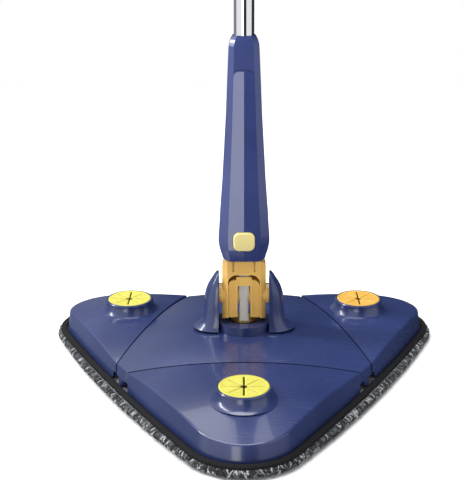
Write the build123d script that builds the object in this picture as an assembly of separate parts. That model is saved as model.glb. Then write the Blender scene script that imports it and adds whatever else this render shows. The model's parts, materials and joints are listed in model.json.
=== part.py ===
"""A triangular floor mop with a folding, self-wringing head, in millimetres.

+Z is up and the front corner of the head points to -Y. The origin is on the floor, on the swivel axis.
The head is a domed centre part with three leaves hinged to it. A fork stands on the centre part: its yoke swivels
about Z and it tilts about X. A sleeve with the pole in it slides down the fork, and a strap then pulls the leaves
down into a closed bud that squeezes the pad.
"""
import os
from math import atan2, cos, degrees, radians, sin, sqrt, tan

from build123d import *

os.makedirs("parts", exist_ok=True)

# ---- Driving dimensions ------------------------------------------------------------------------------------------
# Head outline: a triangle with bowed sides, given by its corner and mid-side distances from the axis.
COVER_TIP = 181.0
COVER_MID = 115.5
COVER_CORNER = 42.0
DRAFT = 5.0  # how far the cover's wall leans in, from its foot to DRAFT_TOP
DRAFT_TOP = 40.0
PAD_TIP = 189.0
PAD_MID = 126.5
PAD_CORNER = 50.0

# Heights above the floor.
PAD_TOP = 7.0
PLATE_Z = 8.0
PLATE_TOP = 10.0
HINGE_Z = 13.0
DOME_Z = 36.0  # top of the dome on the axis
DOME_R = 485.0
WALL = 2.2
SEAM = 0.8  # half of the gap between a leaf and the centre part
RIM_ROUND = 1.6

# Folding.
FOLD_DEG = 100.0
FOLD_HALF = FOLD_DEG / 2
SLIDE = 35.0  # travel of the sleeve down the fork

# Hinges: each has two knuckles with one pin through each.
PIN_R = 1.5
PIN_HOLE_R = 1.55
BARREL_R = 3.2
KNUCKLE_W = 12.0
LUG_W = 5.0
LUG_GAP = 0.3
KNUCKLE_AT = 0.27  # of the hinge's length, from its middle
PLATE_BACK = 6.4  # edge of both plates from the hinge line
NOTCH_W = KNUCKLE_W + 2 * LUG_W + 4.0
NOTCH_TOP = 20.0
MITRE_GAP = 0.5  # from a folded leaf to the plane that halves a front corner

# Screws and their posts, by place.
CENTRE_BOSSES = [(-38.0, 62.0), (38.0, 62.0), (-58.0, -36.0), (58.0, -36.0)]
LEAF_BOSSES = {"front": [(-42.0, -88.0), (42.0, -88.0), (0.0, -160.0)],
               "left": [(-112.0, -6.0), (-84.0, 96.0), (-144.0, 88.0)],
               "right": [(112.0, -6.0), (84.0, 96.0), (144.0, 88.0)]}
BOSS_R = 3.5
BOSS_HOLE_R = 1.25
SCREW_R = 1.2
SCREW_HOLE_R = 1.6
SCREW_HEAD_R = 2.6

# Cloth grippers: slit rubber discs on the leaves.
GRIP_AT = 120.0
GRIP_R = 19.3
GRIP_Z = 38.0
GRIP_T = 2.0
SLIT_W = 0.8
SLIT_REACH = 14.6
BOSS_TOP_R = 21.2
BOSS_FOOT_R = 27.5

# Hub, yoke and fork.
HUB_R = 13.0
HUB_BORE_R = 11.0
HUB_TOP = 40.0
HUB_PLAY = 0.06
NECK_OPENING_R = 23.3
NECK_R = 22.9
NECK_TOP = 43.0
TILT_Z = 66.0
EAR_IN = 21.2
# The ears' sections: height, reach from the axis, half depth.
EAR = [(36.7, 43.5, 16.5), (38.2, 41.5, 15.6), (41.0, 38.0, 14.6), (46.5, 35.0, 13.6), (54.0, 34.0, 13.0),
       (62.6, 33.3, 12.7), (69.5, 32.0, 12.4), (74.3, 30.3, 11.6), (79.0, 27.7, 9.6), (82.5, 25.2, 7.0),
       (85.0, 23.0, 3.6)]
FORK_HALF = 18.2
FORK_DEPTH = 10.5
FORK_END_R = 21.3
WINDOW_HALF = 13.2
WINDOW_TOP = 85.4
WINDOW_ROUND = 7.0
SHOULDER_Z = 98.0
SHOULDER_CUT = 4.4  # off each corner of the shoulders, which go up inside the sleeve
TOWER_HALF = 10.0
TOWER_TOP = 160.0
TILT_PIN_R = 3.0
PULLEY_Z = 150.0
PULLEY_PIN_R = 1.5
PIVOT_R = 8.5  # of the fork's bosses round the tilt pin
BORE_PLAY = 0.02

# Pull strap, its bush and its rollers.
STRAP_W = 8.0
STRAP_T = 1.2
ROLLER_R = 6.5
CHEEK_R = 8.4
STRAP_Y = -(ROLLER_R + STRAP_T / 2)
TAIL_T = 0.9
TAIL_OUT = 30.0  # past the hinge, where a tail is riveted to its leaf
TAIL_GAP = 8.5  # from the hinge to the star and to the tail
BUSH_R = 10.9
BUSH_TOP = 43.4
ANCHOR_TOP = 132.0  # of the block in the sleeve that holds the strap's end

# Sleeve and button. Each row is height, half width, half depth.
SLEEVE = [(98.8, 18.0, 14.8), (103.8, 18.5, 15.6), (109.5, 20.1, 16.3), (114.5, 20.9, 16.5), (119.0, 20.9, 16.5),
          (127.0, 20.3, 16.4), (142.0, 19.4, 16.0), (167.0, 17.5, 14.8), (220.0, 14.4, 12.8), (270.0, 12.2, 11.4)]
CAP = [(270.02, 12.2, 11.4), (273.0, 12.0, 11.2), (275.6, 11.4, 10.7), (277.8, 10.5, 10.0), (279.6, 9.5, 9.2),
       (280.8, 8.7, 8.6)]
SLEEVE_WALL = 2.4
SLEEVE_CORNER = 0.36  # of the half width, cut off each corner of the section
SLEEVE_SCREWS = [(-13.2, 150.0), (13.2, 150.0), (0.0, 210.5)]
RIB_Z = [222.0, 240.0, 260.0]
SLOT_TOP = 112.2  # of the arched slot in each side of the sleeve, for the fork's pivot
SLOT_HALF = 9.2
TONGUE_ROUND = 5.0
PANEL_RISE = 0.8  # of the raised panel down the sleeve's front
PANEL_RIDGE = 1.2  # more at its middle line, where its two faces meet
PANEL_SHARE = 0.63  # its half width, of the sleeve's
PANEL_FOOT = 101.2
PANEL_TOP = 254.0
BUTTON_Z = 117.0
BUTTON_W = 17.5
BUTTON_H = 15.8
BUTTON_ROUND = 5.0
BUTTON_PROUD = 3.2

# Pole.
TUBE_R = 8.0
TUBE_WALL = 0.8
TUBE_FOOT = 218.0
MID_JOINT = 600.0
TOP_JOINT = 925.0
POLE_TOP = 1300.0
COLLAR_LEN = 61.0
GRIP_LEN = 104.0
STUD_R = 5.9
GRIP_FOOT_R = 9.2
GRIP_TOP_R = 11.7
HANG_R = 4.0
HANG_DOWN = 15.0  # of the hanging hole below the top of the grip
HANG_FLAT = 9.5  # half thickness of the grip where the hole goes through

UP = Vector(0, 0, 1)


def save(shape, node):
    """Writes one node. A node is one solid, or several separate ones."""
    shape = shape.clean() if hasattr(shape, "clean") else shape
    export_step(shape, f"parts/{node}.step")


def tube(r_out, r_in, z0, z1, x=0.0, y=0.0):
    """An upright ring."""
    ring = Cylinder(r_out, z1 - z0, align=(Align.CENTER, Align.CENTER, Align.MIN))
    if r_in:
        ring -= Cylinder(r_in, z1 - z0, align=(Align.CENTER, Align.CENTER, Align.MIN))
    return Pos(x, y, z0) * ring


def box(x0, x1, y0, y1, z0, z1):
    """A box by its limits."""
    return Pos((x0 + x1) / 2, (y0 + y1) / 2, (z0 + z1) / 2) * Box(x1 - x0, y1 - y0, z1 - z0)


def along_x(r, x0, x1, y, z):
    """A cylinder that lies along X."""
    return Pos((x0 + x1) / 2, y, z) * Rot(0, 90, 0) * Cylinder(r, x1 - x0)


def along_y(r, x, z, y0, y1):
    """A cylinder that lies along Y."""
    return Pos(x, (y0 + y1) / 2, z) * Rot(90, 0, 0) * Cylinder(r, y1 - y0)


def outline(tip, mid, corner):
    """The bowed triangle as a face on Z 0: corner arcs, and side arcs tangent to them."""
    reach = tip - corner
    a, b = reach * cos(radians(30)), reach * sin(radians(30)) - mid
    bow = (corner**2 - a**2 - b**2) / (2 * (b + corner))
    edges = []
    for k in range(3):
        turn = 120 * k
        to_corner = Vector(a, reach * sin(radians(30)) - (mid - bow), 0).normalized()
        start = Vector(a, reach * sin(radians(30)), 0) + to_corner * corner
        end = Vector(-start.X, start.Y, 0)
        next_start = Vector(-start.X, start.Y, 0).rotate(Axis.Z, turn)
        corner_end = start.rotate(Axis.Z, turn + 120)
        corner_tip = Vector(0, tip, 0).rotate(Axis.Z, turn + 60)
        edges.append(ThreePointArc(start.rotate(Axis.Z, turn), Vector(0, mid, 0).rotate(Axis.Z, turn),
                                   end.rotate(Axis.Z, turn)))
        edges.append(ThreePointArc(next_start, corner_tip, corner_end))
    return make_face(edges)


def drafted(inset, z0, z1):
    """The cover's outer block, with its wall leaning in, less an inset all round."""
    def at(z):
        lean = DRAFT * (z - PLATE_Z) / (DRAFT_TOP - PLATE_Z) + inset
        return Pos(0, 0, z) * outline(COVER_TIP - lean, COVER_MID - lean, COVER_CORNER - lean)
    return loft([at(z0), at(z1)], ruled=True)


# ---- The three hinges --------------------------------------------------------------------------------------------
class Hinge:
    """One leaf's hinge: a horizontal line through two points, with the leaf on its outer side."""

    def __init__(self, name, p0, p1, lean):
        self.name = name
        self.mid = Vector((p0[0] + p1[0]) / 2, (p0[1] + p1[1]) / 2, 0)
        run = Vector(p1[0] - p0[0], p1[1] - p0[1], 0)
        self.length = run.length
        out = run.normalized().rotate(Axis.Z, 90)
        self.out = out if out.dot(self.mid) > 0 else out * -1
        self.axis = Vector(-self.out.Y, self.out.X, 0)
        self.lean = lean
        self.frame = Plane(origin=self.mid, x_dir=self.axis * -1, z_dir=UP)

    def local(self, shape):
        """Places a shape drawn with X along the hinge, Y outward and Z up."""
        return self.frame.location * shape

    def to_local(self, x, y):
        """A point of the part as (along, outward)."""
        v = Vector(x, y, 0) - self.mid
        return v.dot(self.axis * -1), v.dot(self.out)

    def fold(self, shape, turn=FOLD_DEG):
        """The shape as it lies when the leaf has folded down."""
        pin = Axis(self.mid + UP * HINGE_Z, self.axis)
        return shape.rotate(pin, turn)

    def outside(self, gap, z0=-5.0, z1=60.0):
        """The room beyond the hinge line, from a distance outwards."""
        return self.local(box(-400, 400, gap, 400, z0, z1))

    def knuckles(self):
        """Places of the two knuckles along the hinge."""
        return [-KNUCKLE_AT * self.length, KNUCKLE_AT * self.length]

    def seam_z(self):
        """Height of the covers at the middle of the hinge."""
        return DOME_Z - self.mid.length**2 / (2 * DOME_R)

    def top(self, sink=0.0):
        """The crown of the leaf: a dome as round as the centre part's, which leans in by the leaf's own angle."""
        lean = radians(self.lean)
        centre = self.mid + UP * self.seam_z() + self.out * (DOME_R * sin(lean)) - UP * (DOME_R * cos(lean))
        return Pos(centre.X, centre.Y, centre.Z) * Sphere(DOME_R - sink)

    def top_z(self, x, y):
        """Height of the crown over a point."""
        along, outward = self.to_local(x, y)
        return self.seam_z() + tan(radians(self.lean)) * outward - (along**2 + outward**2) / (2 * DOME_R)


HINGES = [
    Hinge("front", (-96.0, -65.0), (96.0, -65.0), 1.7),
    Hinge("left", (-104.5, -50.0), (-55.0, 111.0), 2.3),
    Hinge("right", (104.5, -50.0), (55.0, 111.0), 2.3),
]
GRIPPER_AT = {"front": (0.0, -GRIP_AT), "left": (-GRIP_AT * cos(radians(30)), GRIP_AT / 2),
              "right": (GRIP_AT * cos(radians(30)), GRIP_AT / 2)}


def inner_region(gap, z0=-5.0, z1=60.0):
    """The centre part's room: everything inside all three hinge lines, less a gap."""
    region = box(-300, 300, -300, 300, z0, z1)
    for hinge in HINGES:
        region -= hinge.outside(-gap, z0 - 1, z1 + 1)
    return region


def fold_wedges(lift=0.0):
    """Along each hinge, the wedge under the pin that has to stay empty for the fold."""
    reach = HINGE_Z + 3
    half = reach * tan(radians(FOLD_HALF + 1.2))
    wedges = []
    for hinge in HINGES:
        tri = Plane.YZ * make_face(Polyline((0, HINGE_Z + lift), (half, HINGE_Z + lift - reach),
                                            (-half, HINGE_Z + lift - reach), close=True))
        wedges.append(hinge.local(Pos(-220, 0, 0) * extrude(tri, 440)))
    return wedges


WEDGES = fold_wedges()


def mitre_boxes():
    """Two upright boxes for each front corner, on either side of the plane that halves it.
    A folded leaf has to stay on its own side, and so does what is inside it."""
    corners = {}
    front = HINGES[0]
    for side in (-1, 1):
        rear = HINGES[1] if side < 0 else HINGES[2]
        run = rear.axis if rear.axis.Y > 0 else rear.axis * -1
        t = (front.mid.Y - rear.mid.Y) / run.Y
        point = rear.mid + run * t
        along = Vector(-side, 0, 0)
        half = (along + run).normalized()
        plane = Plane(origin=point, x_dir=half, z_dir=UP)
        corners[side] = (point, half, plane)
    return corners


MITRES = mitre_boxes()


def mitred(hinge, shape):
    """Trims what lies under the pins of a leaf so that neighbouring leaves clear each other when folded."""
    folded = hinge.fold(shape)
    for side, (point, half, plane) in MITRES.items():
        if hinge.name != "front" and (hinge.name == "left") != (side < 0):
            continue
        front_side = -1 if plane.y_dir.Y > 0 else 1  # local Y of the front leaf's side
        keep_away = -front_side if hinge.name == "front" else front_side
        y0, y1 = (-MITRE_GAP, 400) if keep_away > 0 else (-400, MITRE_GAP)
        folded -= plane.location * box(-400, 400, y0, y1, -400, 60)
    return hinge.fold(folded, -FOLD_DEG)


# ---- Head: centre part -------------------------------------------------------------------------------------------
BODY = drafted(0, PLATE_Z, DRAFT_TOP)
CAVITY = drafted(WALL, PLATE_Z - 1, DRAFT_TOP)


def dome(sink=0.0):
    """The crown of the centre part."""
    return Pos(0, 0, DOME_Z - DOME_R) * Sphere(DOME_R - sink)


def cover_bosses(points, roof):
    """Screw posts from under a cover's roof down to its plate."""
    posts = None
    for x, y in points:
        post = tube(BOSS_R, BOSS_HOLE_R, PLATE_TOP, DRAFT_TOP, x, y)
        posts = post if posts is None else posts + post
    return posts & roof


def softened(block):
    """Rounds a cover's upper edge over its outer wall, and leaves the hinge seams sharp."""
    rims = []
    for edge in block.edges():
        if edge.bounding_box().min.Z < NOTCH_TOP:
            continue
        middle = edge @ 0.5
        along_seam = min(abs(hinge.to_local(middle.X, middle.Y)[1]) for hinge in HINGES) < 2 * SEAM
        if not along_seam:
            rims.append(edge)
    return fillet(rims, RIM_ROUND)


def centre_cover():
    """The blue domed cover of the centre part, with notches over the hinge knuckles."""
    cover = softened(BODY & inner_region(SEAM) & dome())
    cover -= (CAVITY & inner_region(SEAM + WALL)) & dome(WALL)
    for hinge, wedge in zip(HINGES, WEDGES):
        cover -= wedge
        cover -= hinge.local(box(-400, 400, -5.0, 5.0, 0, HINGE_Z + 1.0))
        for x in hinge.knuckles():
            cover -= hinge.local(box(x - NOTCH_W / 2, x + NOTCH_W / 2, -7.5, 5.0, 0, NOTCH_TOP))
    cover += cover_bosses(CENTRE_BOSSES, dome(WALL / 2))
    cover -= tube(NECK_OPENING_R, 0, 20, 50)
    save(cover, "centre_cover")


def web(side):
    """The web from a plate's edge up to its hinge barrel, as a face in the hinge's own section."""
    points = [(11.0, PLATE_Z), (PLATE_BACK, PLATE_Z), (2.5, 11.3), (2.5, 15.0), (6.0, 15.2), (11.0, PLATE_TOP)]
    return Plane.YZ * make_face(Polyline(*[(side * y, z) for y, z in points], close=True))


def barrels(hinge, side, spans):
    """Hinge barrels over the spans along the hinge, each with its web, on the centre's or the leaf's side."""
    made = None
    for x0, x1 in spans:
        part = Pos(x0, 0, 0) * extrude(web(side), x1 - x0) + along_x(BARREL_R, x0, x1, 0, HINGE_Z)
        made = part if made is None else made + part
    for x in hinge.knuckles():
        made -= along_x(PIN_HOLE_R, x - 20, x + 20, 0, HINGE_Z)
    return hinge.local(made)


def chassis_plate():
    """The centre part's floor: hinge lugs, a hub post for the yoke, and the ring that carries it."""
    plate = drafted(WALL + 0.4, PLATE_Z, DRAFT_TOP) & inner_region(PLATE_BACK, PLATE_Z, PLATE_TOP)
    plate += tube(HUB_R, 0, PLATE_Z, HUB_TOP)
    plate += tube(28.0, 24.5, PLATE_Z, 27.6)
    for hinge in HINGES:
        spans = []
        for x in hinge.knuckles():
            inner = KNUCKLE_W / 2 + LUG_GAP
            spans += [(x - inner - LUG_W, x - inner), (x + inner, x + inner + LUG_W)]
        plate += barrels(hinge, -1, spans)
    plate -= tube(HUB_BORE_R, 0, 0, 60)
    for x, y in CENTRE_BOSSES:
        plate -= tube(SCREW_HOLE_R, 0, 0, 20, x, y)
    save(plate, "chassis_plate")


def screws(points, z=PLATE_Z, length=9.0):
    """Flat-headed screws, up from under a plate."""
    made = None
    for x, y in points:
        part = tube(SCREW_HEAD_R, 0, z - 1.0, z, x, y) + tube(SCREW_R, 0, z, z + length, x, y)
        made = part if made is None else made + part
    return made


def hinge_pins():
    """Six steel pins, one through each knuckle and its two lugs."""
    half = KNUCKLE_W / 2 + LUG_GAP + LUG_W - 0.4
    pins = Compound(children=[hinge.local(along_x(PIN_R, x - half, x + half, 0, HINGE_Z))
                              for hinge in HINGES for x in hinge.knuckles()])
    save(pins, "hinge_pins")


def tail_box(hinge, width, z0, z1, grow=0.0):
    """A strip under the plates from the hub out to where a tail is riveted."""
    end = hinge.mid + hinge.out * TAIL_OUT
    turn = degrees(atan2(end.Y, end.X))
    return Rot(0, 0, turn) * box(0, end.length + grow, -width / 2, width / 2, z0, z1)


def pull_straps():
    """The webbing under the plates: a star from the hub to the three hinges, and a tail on each leaf."""
    z0, z1 = PAD_TOP + 0.05, PAD_TOP + 0.05 + TAIL_T
    star = tube(STRAP_W, 0, z0, z1)
    for hinge in HINGES:
        strip = tail_box(hinge, STRAP_W, z0, z1)
        star += strip & inner_region(TAIL_GAP)
        save(strip & hinge.outside(TAIL_GAP), f"pull_strap_{hinge.name}")
    star += box(-STRAP_W / 2, STRAP_W / 2, STRAP_Y - STRAP_T / 2, STRAP_Y + STRAP_T / 2, z0, BUSH_TOP - 0.4)
    save(star, "pull_strap_star")


def guide_bush():
    """The gold-coloured bush in the hub, with a slot that the strap runs through."""
    bush = tube(BUSH_R, BUSH_R - 1.6, 30.0, BUSH_TOP) + tube(BUSH_R, 0, BUSH_TOP - 1.4, BUSH_TOP)
    slot_w = STRAP_W / 2 + 0.4
    bush -= box(-slot_w, slot_w, STRAP_Y - STRAP_T, STRAP_Y + STRAP_T, 0, 60)
    save(bush, "guide_bush")


def hook_patches():
    """Self-gripping patches glued under the plates, which hold the pad."""
    def patch(inset):
        return Pos(0, 0, PAD_TOP) * extrude(outline(COVER_TIP - inset, COVER_MID - inset, COVER_CORNER - inset),
                                            PLATE_Z - PAD_TOP)
    whole = patch(16.0)
    for hinge in HINGES:
        whole -= tail_box(hinge, STRAP_W + 4.0, 0, 20, 6.0)
    for points in [CENTRE_BOSSES, *LEAF_BOSSES.values()]:
        for x, y in points:
            whole -= tube(3.4, 0, 0, 20, x, y)
    centre = (whole & inner_region(12.0)) - tube(HUB_BORE_R + 5, 0, 0, 20)
    save(centre, "hook_patch_centre")
    for hinge in HINGES:
        save(whole & hinge.outside(12.0), f"hook_patch_{hinge.name}")


def pads():
    """The microfibre pad. It folds at the three hinges, so it is four solids with mitred edges."""
    slab = extrude(outline(PAD_TIP, PAD_MID, PAD_CORNER), PAD_TOP)
    centre = slab & inner_region(0.0)
    for wedge in WEDGES:
        centre -= wedge
    save(centre, "pad_centre")
    for hinge, wedge in zip(HINGES, WEDGES):
        save(mitred(hinge, (slab & hinge.outside(0.0)) - wedge), f"pad_{hinge.name}")


# ---- Head: leaves ------------------------------------------------------------------------------------------------
def boss_profile(foot_z):
    """Half section of a gripper's flared boss."""
    foot = (BOSS_FOOT_R, foot_z)
    waist = (BOSS_TOP_R + 1.3, foot_z + 0.42 * (GRIP_Z - foot_z))
    shoulder = (BOSS_TOP_R, GRIP_Z - 0.9)
    flare = ThreePointArc(foot, waist, shoulder)
    rest = Polyline(shoulder, (BOSS_TOP_R - 0.7, GRIP_Z), (0, GRIP_Z), (0, foot_z), foot)
    return Plane.XZ * make_face([flare, rest])


def leaf_cover(hinge):
    """One leaf's cover, open towards the hinge, with the boss that carries its gripper."""
    gx, gy = GRIPPER_AT[hinge.name]
    foot_z = hinge.top_z(gx, gy) - 2.0
    cover = softened(BODY & hinge.outside(SEAM) & hinge.top())
    cover += Pos(gx, gy, 0) * revolve(boss_profile(foot_z), Axis.Z)
    cavity = CAVITY & hinge.outside(-2.0) & hinge.top(WALL)
    cover -= cavity
    cover -= WEDGES[HINGES.index(hinge)]
    cover -= hinge.local(box(-400, 400, -1, 4.0, 0, HINGE_Z + 1.5))
    posts = cover_bosses(LEAF_BOSSES[hinge.name], hinge.top(WALL / 2))
    cover += posts
    cover += tube(GRIP_R + 1.5, 16.0, GRIP_Z - GRIP_T - 4.0, GRIP_Z - GRIP_T, gx, gy)
    cover -= tube(GRIP_R + 0.15, 0, GRIP_Z - GRIP_T, 60, gx, gy)
    cover -= tube(16.0, 0, 15, 60, gx, gy)
    save(cover, f"leaf_cover_{hinge.name}")


def leaf_plate(hinge):
    """One leaf's floor, with the two hinge knuckles."""
    plate = drafted(WALL + 0.4, PLATE_Z, DRAFT_TOP) & hinge.outside(PLATE_BACK, PLATE_Z, PLATE_TOP)
    spans = [(x - KNUCKLE_W / 2, x + KNUCKLE_W / 2) for x in hinge.knuckles()]
    plate += barrels(hinge, 1, spans)
    for x, y in LEAF_BOSSES[hinge.name]:
        plate -= tube(SCREW_HOLE_R, 0, 0, 20, x, y)
    save(plate, f"leaf_plate_{hinge.name}")


def gripper(hinge):
    """A soft rubber disc with eight slits from a small hole, which holds the corner of a cloth."""
    gx, gy = GRIPPER_AT[hinge.name]
    disc = tube(GRIP_R, 2.1, GRIP_Z - GRIP_T, GRIP_Z + 0.1)
    for k in range(4):
        disc -= Rot(0, 0, 45 * k) * box(-SLIT_REACH, SLIT_REACH, -SLIT_W / 2, SLIT_W / 2, 0, 60)
    save(Pos(gx, gy, 0) * disc, f"cloth_gripper_{hinge.name}")


# ---- Yoke and fork -----------------------------------------------------------------------------------------------
def ear_section(z, reach, half_depth):
    """One level of an ear: flat against the fork, and bowed outwards."""
    bulge = reach - EAR_IN
    shoulder = Vector(EAR_IN + 0.72 * bulge, 0.69 * half_depth)
    bow = Spline((EAR_IN, -half_depth), (shoulder.X, -shoulder.Y), (reach, 0), (shoulder.X, shoulder.Y),
                 (EAR_IN, half_depth), tangents=[(1, 0), (-1, 0)])
    return Pos(0, 0, z) * make_face([bow, Line((EAR_IN, half_depth), (EAR_IN, -half_depth))])


def yoke():
    """The turning yoke: a trapped flange and neck round the hub, and two horn-shaped ears."""
    body = tube(27.3, HUB_R + HUB_PLAY, 27.9, 32.4) + tube(NECK_R, HUB_R + HUB_PLAY, 32.4, NECK_TOP)
    ear = loft([ear_section(*row) for row in EAR])
    body += ear + mirror(ear, Plane.YZ)
    body -= along_x(TILT_PIN_R + 0.06, -26.2, 26.2, 0, TILT_Z)
    save(body, "yoke")
    save(box(-STRAP_W / 2, STRAP_W / 2, STRAP_Y - STRAP_T / 2, STRAP_Y + STRAP_T / 2, BUSH_TOP + 0.3,
             TILT_Z - ROLLER_R - STRAP_T - 0.5), "strap_rise")


def leg_outline(grow=0.0):
    """The fork's section: a rectangle with its corners cut off."""
    half_w, half_d, cut = FORK_HALF + grow, FORK_DEPTH + grow, SHOULDER_CUT + 0.6 * grow
    quarter = [(half_w, half_d - cut), (half_w - cut, half_d)]
    points = quarter + [(-x, y) for x, y in reversed(quarter)]
    points += [(-x, -y) for x, y in points]
    return make_face(Polyline(*points, close=True))


def fork():
    """The orange fork: two legs round the strap roller, and a tower that the sleeve slides on."""
    legs = box(-FORK_HALF, FORK_HALF, -FORK_DEPTH, FORK_DEPTH, TILT_Z - FORK_END_R, SHOULDER_Z)
    legs = fillet(legs.edges().filter_by(Axis.Y).group_by(Axis.Z)[-1], 7.0)
    legs = legs & extrude(leg_outline(), 200)
    legs -= box(-60, 60, -60, 60, 0, TILT_Z) - along_x(FORK_END_R, -60, 60, 0, TILT_Z)
    legs += along_x(PIVOT_R, -EAR_IN + 0.25, EAR_IN - 0.25, 0, TILT_Z)
    body = legs + box(-TOWER_HALF, TOWER_HALF, -FORK_DEPTH, FORK_DEPTH, SHOULDER_Z - 4, TOWER_TOP)
    window = box(-WINDOW_HALF, WINDOW_HALF, -30, 30, 0, WINDOW_TOP)
    window = fillet(window.edges().filter_by(Axis.Y).group_by(Axis.Z)[-1], WINDOW_ROUND)
    body -= window - box(-60, 60, 8.6, 60, TILT_Z + 10.0, 200)
    body -= box(-5.5, 5.5, -9.0, -4.0, WINDOW_TOP - 8, TOWER_TOP + 1)
    body -= box(-5.5, 5.5, 4.0, 12.0, WINDOW_TOP + 3, TOWER_TOP + 1)
    body -= box(-5.5, 5.5, -30, 30, PULLEY_Z - 10, TOWER_TOP + 1)
    for side in (-1, 1):
        x0, x1 = sorted((side * 8.0, side * 9.5))
        body -= box(x0, x1, -60, -8.9, 88.5, TOWER_TOP + 1)
    body -= along_x(TILT_PIN_R + BORE_PLAY, -40, 40, 0, TILT_Z)
    body -= along_x(PULLEY_PIN_R + BORE_PLAY, -40, 40, 0, PULLEY_Z)
    save(body, "fork")


def roller_saddle():
    """The strap guide in the fork's window: a ribbed cheek on each side of the roller, and a lintel over it."""
    inner = 5.4
    outer = WINDOW_HALF - 0.1
    body = None
    for side in (-1, 1):
        x0, x1 = sorted((side * inner, side * outer))
        cheek = box(x0, x1, -8.9, 8.4, 40, 80.6)
        crown = cheek.edges().filter_by(Axis.Y).group_by(Axis.Z)[-1].sort_by(Axis.X)[0 if side < 0 else -1]
        cheek = fillet(crown, 5.5)
        x0, x1 = sorted((side * inner, side * (inner + 2.0)))
        cheek += box(x0, x1, -10.3, -8.0, 50.0, 81.2)
        body = cheek if body is None else body + cheek
    body = body & along_x(FORK_END_R - 0.8, -60, 60, 0, TILT_Z)
    body += box(-inner - 1.0, inner + 1.0, -9.9, -8.4, 75.6, 83.4)
    body += box(-inner - 1.0, inner + 1.0, 2.0, 8.4, TILT_Z + 10.4, 80.6)
    body -= along_x(TILT_PIN_R + BORE_PLAY, -40, 40, 0, TILT_Z)
    save(body, "roller_saddle")


def roller(z, pin_r):
    """A flanged roller for the strap, a little smaller than the strap's own bend."""
    body = along_x(ROLLER_R - 0.05, -5.2, 5.2, 0, z)
    for side in (-1, 1):
        body += along_x(CHEEK_R, *sorted((side * 4.3, side * 5.2)), 0, z)
    return body - along_x(pin_r + 0.05, -20, 20, 0, z)


def strap_and_rollers():
    """The two rollers, their pins, and the strap up the front of the fork and over the top roller."""
    save(roller(TILT_Z, TILT_PIN_R), "strap_roller")
    save(roller(PULLEY_Z, PULLEY_PIN_R), "top_roller")
    save(along_x(TILT_PIN_R, -25.8, 25.8, 0, TILT_Z), "tilt_pin")
    save(along_x(PULLEY_PIN_R, -TOWER_HALF + 0.2, TOWER_HALF - 0.2, 0, PULLEY_Z), "top_roller_pin")
    out_r = ROLLER_R + STRAP_T
    half_w = STRAP_W / 2
    strap = along_x(out_r, -half_w, half_w, 0, TILT_Z) - along_x(ROLLER_R, -60, 60, 0, TILT_Z)
    strap += box(-half_w, half_w, -out_r, -ROLLER_R, TILT_Z, PULLEY_Z)
    over = along_x(out_r, -half_w, half_w, 0, PULLEY_Z) - along_x(ROLLER_R, -60, 60, 0, PULLEY_Z)
    strap += over & box(-60, 60, -60, 60, PULLEY_Z, PULLEY_Z + 60)
    save(strap, "strap_front_run")
    save(box(-half_w, half_w, ROLLER_R, out_r, ANCHOR_TOP, PULLEY_Z), "strap_back_run")


# ---- Sleeve ------------------------------------------------------------------------------------------------------
def section(z, half_w, half_d, inset=0.0, ridge=0.0):
    """The sleeve's section at a height: a rectangle with its corners cut off, and a ridge if wanted in front."""
    w, d, c = half_w - inset, half_d - inset, half_w * SLEEVE_CORNER - inset * (2 - sqrt(2))
    points = [(w - c, d), (-w + c, d), (-w, d - c), (-w, -d + c), (-w + c, -d)]
    if ridge:
        points.append((0, -d - ridge))
    points += [(w - c, -d), (w, -d + c), (w, d - c)]
    return Pos(0, 0, z) * make_face(Polyline(*points, close=True))


def button_block(grow, y0, y1):
    """The button's rounded outline, extruded along Y."""
    face = RectangleRounded(BUTTON_W + 2 * grow, BUTTON_H + 2 * grow, BUTTON_ROUND + grow)
    return Pos(0, y1, BUTTON_Z) * extrude(Plane.XZ * face, y1 - y0)


def front_panel():
    """The room of the raised panel on the sleeve's front, which narrows upwards with the sleeve."""
    rows = [(z, w) for z, w, _ in SLEEVE if PANEL_FOOT < z < PANEL_TOP]
    rows = [(PANEL_FOOT, SLEEVE[2][1])] + [row for row in rows if row[0] > SLEEVE[1][0]] + [(PANEL_TOP, 12.9)]
    side = [(PANEL_SHARE * w, z) for z, w in rows]
    face = make_face(Polyline(*side, *[(-x, z) for x, z in reversed(side)], close=True))
    ends = face.vertices().group_by(Axis.Y)
    face = fillet(ends[0] + ends[-1], 4.5)
    return extrude(Plane.XZ * face, 60)


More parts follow.
